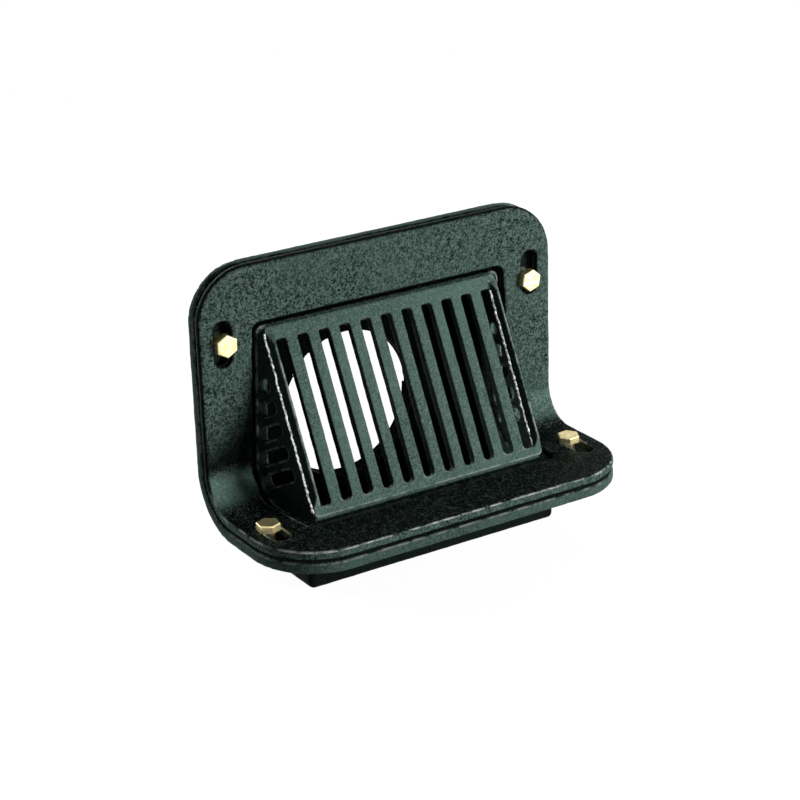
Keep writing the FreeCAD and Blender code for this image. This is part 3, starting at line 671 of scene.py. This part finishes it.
def groundEdgeHighlightTree():
    tree, groupIn, groupOut = newTree("groundEdgeHighlight", [
        ("Start", "Vector"), ("End", "Vector"), ("Step", "Float"), ("Radius", "Float"),
        ("Thinnest", "Float"), ("Bare Highlight Start", "Float"), ("Bare Highlight Full", "Float"),
        ("Grain Scale", "Float"), ("Shake", "Float"), ("Seed", "Float"), ("Material", "Material"),
    ])
    ends = {"Start": groupIn["Start"], "End": groupIn["End"]}
    line = addNode(tree, "GeometryNodeCurvePrimitiveLine", ends).outputs[0]
    steps = {"Curve": line, "Length": groupIn["Step"]}
    path = addNode(tree, "GeometryNodeResampleCurve", steps, mode="LENGTH").outputs[0]
    place = addNode(tree, "GeometryNodeInputPosition").outputs[0]
    grain = addNode(tree, "ShaderNodeTexNoise", {
        "Vector": place, "W": groupIn["Seed"],
        "Scale": groupIn["Grain Scale"], "Detail": ridgeEdges["grainDetail"],
    }, noise_dimensions="4D").outputs
    bareHighlightRange = (groupIn["Bare Highlight Start"], groupIn["Bare Highlight Full"])
    thick = rangeNode(tree, grain[0], bareHighlightRange, (groupIn["Thinnest"], 1.0))
    sized = addNode(tree, "GeometryNodeSetCurveRadius", {"Curve": path, "Radius": thick})
    centred = vectorNode(tree, "SUBTRACT", grain[1], (noiseMiddle, noiseMiddle, noiseMiddle))
    shake = vectorNode(tree, "SCALE", centred, groupIn["Shake"])
    shaken = addNode(tree, "GeometryNodeSetPosition", {"Geometry": sized.outputs[0], "Offset": shake})
    bead = sweptSection(tree, shaken.outputs[0], ridgeEdges["sectionSides"], groupIn["Radius"])
    endTree(tree, bead, groupIn["Material"], groupOut)
    return tree


def makeRidgeEdges(material):
    tree = groundEdgeHighlightTree()
    for number, side in enumerate(ridgeEdges["sides"], 1):
        pieceName = "ridge_edge_" + str(number)
        piece = newPiece(pieceName, bpy.data.meshes.new(pieceName))
        addTree(piece, tree, {
            **ridgeEdges,
            "Start": (side, *ridgeEdges["foot"]), "End": (side, *ridgeEdges["head"]),
            "Seed": float(number), "Material": material,
        })
        bakeModifiers(piece)
        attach(piece, "root")


# Bolts: the hexagon bolts with softened edges, and a thread on the end behind the flange

boltSettings = {
    "names": ("upper_left", "upper_right", "lower_left", "lower_right"),
    "edgeRound": 0.00035,
    "edgeSegments": 2,
    "edgeAngle": 25,         # sharper edges than this, in degrees, are rounded
    "flatWeight": 100,       # keeps the six flats and the head flat
    "shankRadius": 0.00475,
    "threadPitch": 0.0016,
    "threadRidge": 0.00042,
    "threadReach": 0.0038,   # length of thread that shows behind the flange
}


def makeBolt(name, tree, material):
    nodeName = name + "_bolt"
    piece = newPiece(nodeName + "_plated", meshOfNode(nodeName, nodeName + "_plated"))
    bevel = piece.modifiers.new("edges", "BEVEL")
    bevel.width = boltSettings["edgeRound"]
    bevel.segments = boltSettings["edgeSegments"]
    bevel.limit_method = "ANGLE"
    bevel.angle_limit = math.radians(boltSettings["edgeAngle"])
    flats = piece.modifiers.new("flats", "WEIGHTED_NORMAL")
    flats.weight = boltSettings["flatWeight"]
    piece.data.shade_smooth()
    bakeModifiers(piece)
    piece.data.materials.clear()
    piece.data.materials.append(material)
    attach(piece, "root")
    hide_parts(nodeName)
    low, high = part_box(nodeName)
    turns = boltSettings["threadReach"] / boltSettings["threadPitch"]
    middle = (low + high) / 2
    if name.startswith("upper"):
        place = Vector((middle.x, high.y, middle.z))
        turn = towardsFront
    else:
        place = Vector((middle.x, middle.y, low.z))
        turn = Vector((0, 0, 0))
    thread = makeThread(nodeName + "_thread", {
        "Radius": boltSettings["shankRadius"], "Pitch": boltSettings["threadPitch"], "Turns": turns,
        "Ridge": boltSettings["threadRidge"], "Place": place, "Turn": turn,
    }, tree, material)
    return piece, thread


# Floor, light and camera

stageSettings = {
    "floorRadius": 1.3,
    "floorSides": 96,
    "floorDrop": 0.0005,
    "floorColour": grey(0.9),
    "whiteShare": 0.55,      # how far the floor turns white for camera, glossy and transmission rays
    "whiteLevel": 1.70,
    "ambient": 0.03,
    "aim": (0, 0, 0.1),      # where the lamps point
}
lamps = {
    "key": {"place": (0.98, -1.38, 0.22), "size": (0.7, 0.4), "power": 24},
    "back": {"place": (0.1, 1.7, 0.34), "size": (0.8, 0.6), "power": 15},
    "backLeft": {"place": (-1.0, 1.4, 0.34), "size": (0.7, 0.6), "power": 9},
}
cameraSettings = {
    "place": (-0.7712, -1.24225, 0.6821),
    "azimuth": -31.810,
    "elevation": 21.703,
    "roll": -1.823,
    "focalPixels": 2306.72,
    "imagePixels": 800,
    "sensor": 36.0,
}


# One where the ray comes from the camera, a reflection or a transmission
def seenRay(tree):
    path = addNode(tree, "ShaderNodeLightPath").outputs
    seen = mathNode(tree, "MAXIMUM", path["Is Camera Ray"], path["Is Glossy Ray"])
    return mathNode(tree, "MAXIMUM", seen, path["Is Transmission Ray"])


def makeFloor():
    material, tree = emptyMaterial("paleFloor")
    matte = addNode(tree, "ShaderNodeBsdfDiffuse", {"Color": stageSettings["floorColour"]})
    white = addNode(tree, "ShaderNodeEmission", {"Color": grey(1), "Strength": stageSettings["whiteLevel"]})
    share = mathNode(tree, "MULTIPLY", seenRay(tree), stageSettings["whiteShare"])
    mixed = addNode(tree, "ShaderNodeMixShader", {0: share, 1: matte.outputs[0], 2: white.outputs[0]})
    addNode(tree, "ShaderNodeOutputMaterial", {"Surface": mixed.outputs[0]})
    sides = stageSettings["floorSides"]
    turns = [2 * math.pi * number / sides for number in range(sides)]
    reach = stageSettings["floorRadius"]
    drop = -stageSettings["floorDrop"]
    mesh = bpy.data.meshes.new("floor")
    corners = [(reach * math.cos(turn), reach * math.sin(turn), drop) for turn in turns]
    mesh.from_pydata(corners, [], [tuple(range(sides))])
    mesh.materials.append(material)
    floor = newPiece("floor", mesh)


def makeWorld():
    world = bpy.data.worlds.new("studio")
    world.use_nodes = True
    tree = world.node_tree
    tree.nodes.clear()
    dim = addNode(tree, "ShaderNodeBackground", {"Color": grey(1), "Strength": stageSettings["ambient"]})
    white = addNode(tree, "ShaderNodeBackground", {"Color": grey(1), "Strength": 1.0})
    mixed = addNode(tree, "ShaderNodeMixShader", {0: seenRay(tree), 1: dim.outputs[0], 2: white.outputs[0]})
    addNode(tree, "ShaderNodeOutputWorld", {"Surface": mixed.outputs[0]})
    bpy.context.scene.world = world


def makeLamps():
    aim = Vector(stageSettings["aim"])
    for name, settings in lamps.items():
        light = bpy.data.lights.new(name, "AREA")
        light.shape = "RECTANGLE"
        light.size, light.size_y = settings["size"]
        light.energy = settings["power"]
        lamp = bpy.data.objects.new(name, light)
        lamp.location = settings["place"]
        lamp.rotation_euler = (aim - lamp.location).to_track_quat("-Z", "Y").to_euler()
        bpy.context.scene.collection.objects.link(lamp)


def makeCamera():
    azimuth = math.radians(cameraSettings["azimuth"])
    elevation = math.radians(cameraSettings["elevation"])
    roll = math.radians(cameraSettings["roll"])
    level = math.cos(elevation)
    back = Vector((math.sin(azimuth) * level, -math.cos(azimuth) * level, math.sin(elevation)))
    right = (-back).cross(Vector((0, 0, 1))).normalized()
    up = right.cross(-back)
    rolledRight = right * math.cos(roll) + up * math.sin(roll)
    rolledUp = up * math.cos(roll) - right * math.sin(roll)
    lens = bpy.data.cameras.new("camera")
    lens.sensor_width = cameraSettings["sensor"]
    lens.lens = cameraSettings["focalPixels"] / cameraSettings["imagePixels"] * cameraSettings["sensor"]
    camera = bpy.data.objects.new("camera", lens)
    turn = Matrix((rolledRight, rolledUp, back)).transposed().to_4x4()
    camera.matrix_world = Matrix.Translation(cameraSettings["place"]) @ turn
    bpy.context.scene.collection.objects.link(camera)
    bpy.context.scene.camera = camera


skinTree = castSkinTree()
for nodeName, settings in castings.items():
    makeCasting(nodeName, settings, skinTree)
makeRidgeEdges(ironMaterial("bareIronHighlight", ironSettings))
print("castings dressed")

ridgeTree = threadTree()
plating = platingMaterial("yellowPlating", platingSettings)
threadEnamel = enamelMaterial("outlet_enamel", enamelSettings, threadCoat)
makeOutletThread(ridgeTree, threadEnamel)
for name in boltSettings["names"]:
    for piece in makeBolt(name, ridgeTree, plating):
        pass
print("threads and bolts made")

makeFloor()
makeWorld()
makeLamps()
makeCamera()
bpy.context.scene.view_settings.view_transform = "Standard"
print("stage set")
